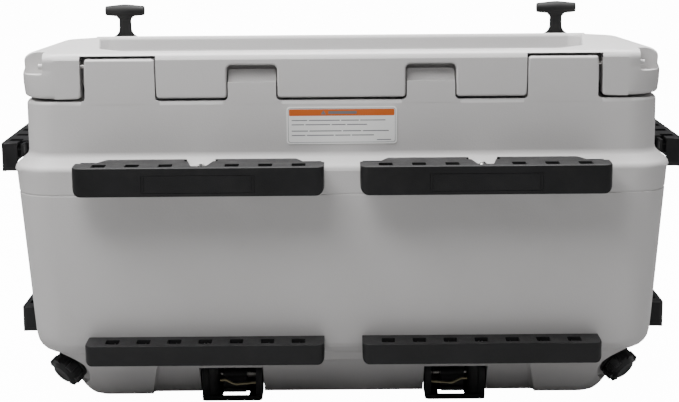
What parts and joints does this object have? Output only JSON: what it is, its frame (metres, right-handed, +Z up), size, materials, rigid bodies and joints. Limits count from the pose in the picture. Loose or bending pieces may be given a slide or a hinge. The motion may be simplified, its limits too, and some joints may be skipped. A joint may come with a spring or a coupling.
{
  "type": "insulated deck cooler",
  "caption": "Insulated hard cooler with a hinged lid, rubber T-latches, slotted tool rails, screw-out drain caps and a quick-attach base.",
  "frame": {"origin": "centre of the footprint, on the plane the base brackets stand on", "axes": "+X to the right seen from the hinge side, +Y towards the latch side, +Z up"},
  "size_m": [0.862, 0.43, 0.48],
  "materials": {
    "tub_plastic": "satin rotomoulded polyethylene",
    "liner_plastic": "satin food-grade polyethylene",
    "foam": "closed-cell polyurethane foam",
    "label_film": "printed vinyl film",
    "black_plastic": "fine-textured black nylon",
    "black_rubber": "moulded rubber",
    "mat_rubber": "ribbed non-slip rubber",
    "steel": "stainless steel",
    "leaf_steel": "heat-tinted spring steel",
    "brass": "turned brass",
    "bush_nylon": "natural nylon"
  },
  "bodies": {
    "tub": {"tub_shell": "tub_plastic", "tub_liner": "liner_plastic", "tub_foam": "foam", "caution_label": "label_film", "left_upper_front_rail": "black_plastic", "right_upper_front_rail": "black_plastic", "left_lower_front_rail": "black_plastic", "right_lower_front_rail": "black_plastic", "left_rail_panel": "black_plastic", "right_rail_panel": "black_plastic", "left_upper_side_rail": "black_plastic", "right_upper_side_rail": "black_plastic", "left_lower_side_rail": "black_plastic", "right_lower_side_rail": "black_plastic", "rail_screws": "steel", "rail_inserts": "brass", "hinge_bushes": "bush_nylon", "left_hinge_rod": "steel", "right_hinge_rod": "steel", "left_latch_keeper": "black_plastic", "right_latch_keeper": "black_plastic", "keeper_screws": "steel", "left_drain_spout": "black_plastic", "right_drain_spout": "black_plastic", "left_drain_nut": "black_plastic", "right_drain_nut": "black_plastic", "left_attach_bracket": "black_plastic", "right_attach_bracket": "black_plastic", "left_attach_pin": "steel", "right_attach_pin": "steel", "left_pawl_spring": "steel", "right_pawl_spring": "steel", "left_attach_leaf": "leaf_steel", "right_attach_leaf": "leaf_steel", "left_rear_bracket": "black_plastic", "right_rear_bracket": "black_plastic", "bracket_bolts": "steel"},
    "lid": {"lid_shell": "tub_plastic", "lid_liner": "liner_plastic", "lid_foam": "foam", "lid_gasket": "black_rubber", "lid_mat": "mat_rubber", "left_latch_mount": "black_plastic", "right_latch_mount": "black_plastic", "latch_mount_screws": "steel", "left_latch_pin": "steel", "right_latch_pin": "steel"},
    "left_latch": {"left_latch": "black_rubber"},
    "left_drain_seal": {"left_drain_washer": "black_rubber"},
    "left_drain_cap": {"left_drain_cap": "black_plastic"},
    "left_pawl": {"left_attach_pawl": "black_plastic"},
    "right_latch": {"right_latch": "black_rubber"},
    "right_drain_seal": {"right_drain_washer": "black_rubber"},
    "right_drain_cap": {"right_drain_cap": "black_plastic"},
    "right_pawl": {"right_attach_pawl": "black_plastic"}
  },
  "joints": [
    {"name": "lid_hinge", "type": "hinge", "parent": "tub", "child": "lid", "pos_m": [0, -0.1335, 0.429], "axis": [1, 0, 0], "range_deg": [0, 95]},
    {"name": "left_latch_hinge", "type": "hinge", "parent": "lid", "child": "left_latch", "pos_m": [-0.3, 0.198, 0.428], "axis": [1, 0, 0], "range_deg": [-178, 8]},
    {"name": "left_drain_travel", "type": "slide", "parent": "tub", "child": "left_drain_seal", "axis": [-0.5803, -0.6003, -0.5503], "range_m": [0, 0.0121]},
    {"name": "left_drain_turn", "type": "hinge", "parent": "left_drain_seal", "child": "left_drain_cap", "pos_m": [-0.34, -0.0985, 0.052], "axis": [-0.5803, -0.6003, -0.5503], "range_deg": [0, 1080]},
    {"name": "left_pawl_hinge", "type": "hinge", "parent": "tub", "child": "left_pawl", "pos_m": [-0.141, -0.081, 0.03], "axis": [1, 0, 0], "range_deg": [0, 35], "stiffness_Nm_per_rad": 0.2, "springref_deg": -17.19},
    {"name": "right_latch_hinge", "type": "hinge", "parent": "lid", "child": "right_latch", "pos_m": [0.3, 0.198, 0.428], "axis": [1, 0, 0], "range_deg": [-178, 8]},
    {"name": "right_drain_travel", "type": "slide", "parent": "tub", "child": "right_drain_seal", "axis": [0.5803, -0.6003, -0.5503], "range_m": [0, 0.0121]},
    {"name": "right_drain_turn", "type": "hinge", "parent": "right_drain_seal", "child": "right_drain_cap", "pos_m": [0.34, -0.0985, 0.052], "axis": [0.5803, -0.6003, -0.5503], "range_deg": [0, 1080]},
    {"name": "right_pawl_hinge", "type": "hinge", "parent": "tub", "child": "right_pawl", "pos_m": [0.141, -0.081, 0.03], "axis": [1, 0, 0], "range_deg": [0, 35], "stiffness_Nm_per_rad": 0.2, "springref_deg": -17.19}
  ],
  "couplings": [
    {"joint": "left_drain_travel", "follows": "left_drain_turn", "m_per_rad": 0.00063662},
    {"joint": "right_drain_travel", "follows": "right_drain_turn", "m_per_rad": 0.00063662}
  ]
}
